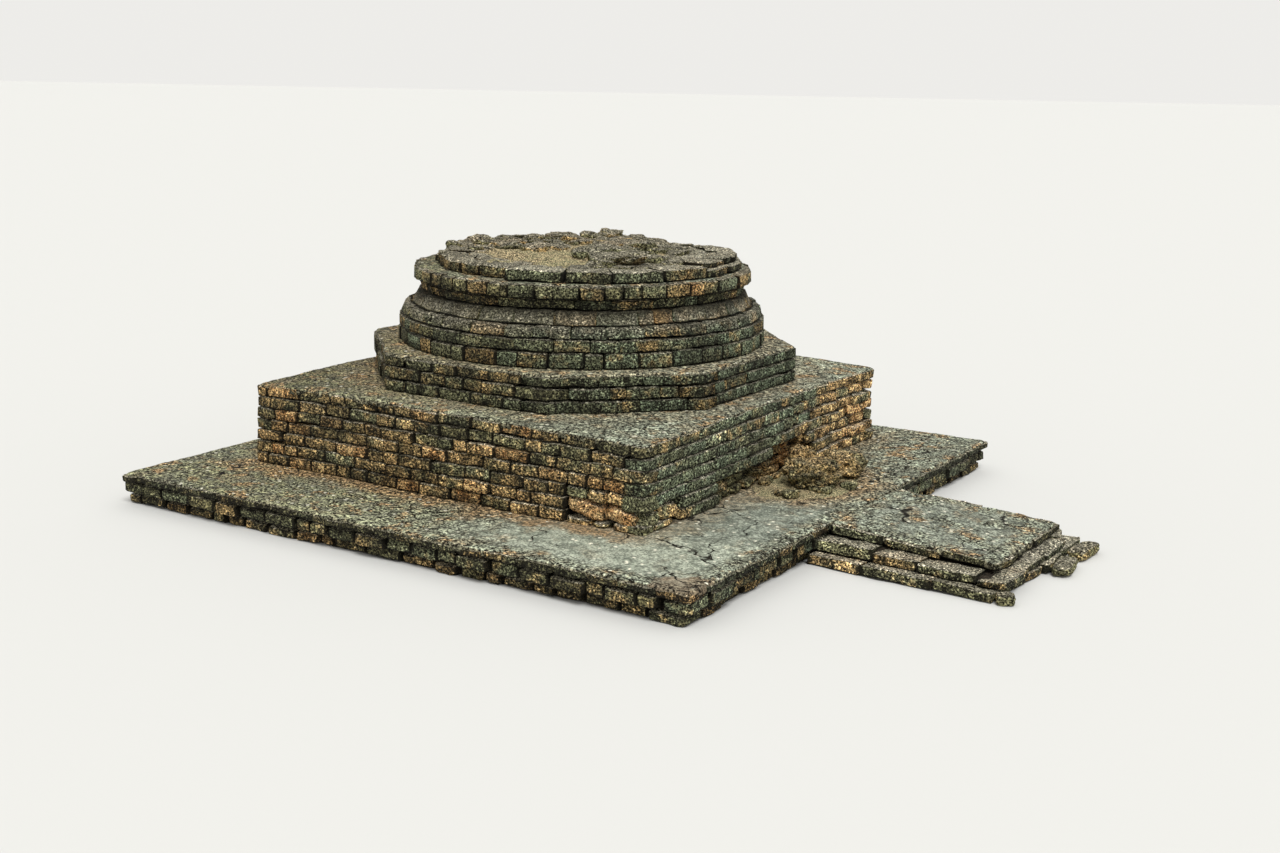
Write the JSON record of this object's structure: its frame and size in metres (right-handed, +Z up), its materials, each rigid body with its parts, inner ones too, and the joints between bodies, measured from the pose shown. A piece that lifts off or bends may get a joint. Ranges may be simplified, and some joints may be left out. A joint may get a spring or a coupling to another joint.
{
  "type": "ruined stupa base",
  "caption": "Ruined stupa base of laterite blocks: square platform with a stepped porch, square plinth, octagonal tier and round mouldings, broken off at the rim.",
  "frame": {"origin": "on the axis of the round tiers, at ground level, on the underside of the platform", "axes": "+X out over the stepped porch, +Z up, -Y the plain face at the left in the picture"},
  "size_m": [9.4714, 7.31, 2.8059],
  "materials": {
    "laterite": "weathered laterite blocks, rough and pitted",
    "weathered_paving": "laterite with a dark grey lichen crust",
    "fresh_laterite": "orange-brown laterite on broken faces",
    "earth_fill": "earth and rubble"
  },
  "bodies": {
    "root": {"cap_rubble_core": "earth_fill", "cap_slab_back": "weathered_paving", "cap_slab_front": "weathered_paving", "cap_slab_front_left": "weathered_paving", "cap_slab_front_right": "weathered_paving", "cap_slab_left": "weathered_paving", "cap_slab_right": "weathered_paving", "facing_high_far": "fresh_laterite", "facing_high_near": "laterite", "facing_low_far": "fresh_laterite", "facing_low_near": "laterite", "fallen_block_large": "fresh_laterite", "fallen_block_middle": "fresh_laterite", "fallen_block_upright": "fresh_laterite", "loose_cap_stone_back": "weathered_paving", "loose_cap_stone_back_left": "weathered_paving", "loose_cap_stone_back_right": "weathered_paving", "loose_cap_stone_front": "weathered_paving", "octagon_course_1": "laterite", "octagon_course_2": "laterite", "octagon_course_3": "laterite", "platform_foot_course": "laterite", "platform_middle_course": "laterite", "platform_paving_course": "weathered_paving", "plinth_course_1": "laterite", "plinth_course_2": "laterite", "plinth_course_3": "laterite", "plinth_course_4": "laterite", "plinth_course_5": "laterite", "plinth_course_6": "laterite", "plinth_course_7": "weathered_paving", "porch_corner_stone": "laterite", "porch_end_stone_far": "laterite", "porch_end_stone_near": "laterite", "porch_foot_course": "laterite", "porch_middle_course": "laterite", "porch_paving_course": "weathered_paving", "rim_lower_course": "laterite", "rim_upper_course": "laterite", "round_base_course": "laterite", "round_middle_course": "laterite", "round_shoulder_course": "laterite", "sloping_course": "laterite", "worn_stones_high": "fresh_laterite", "worn_stones_low": "fresh_laterite"}
  },
  "joints": []
}
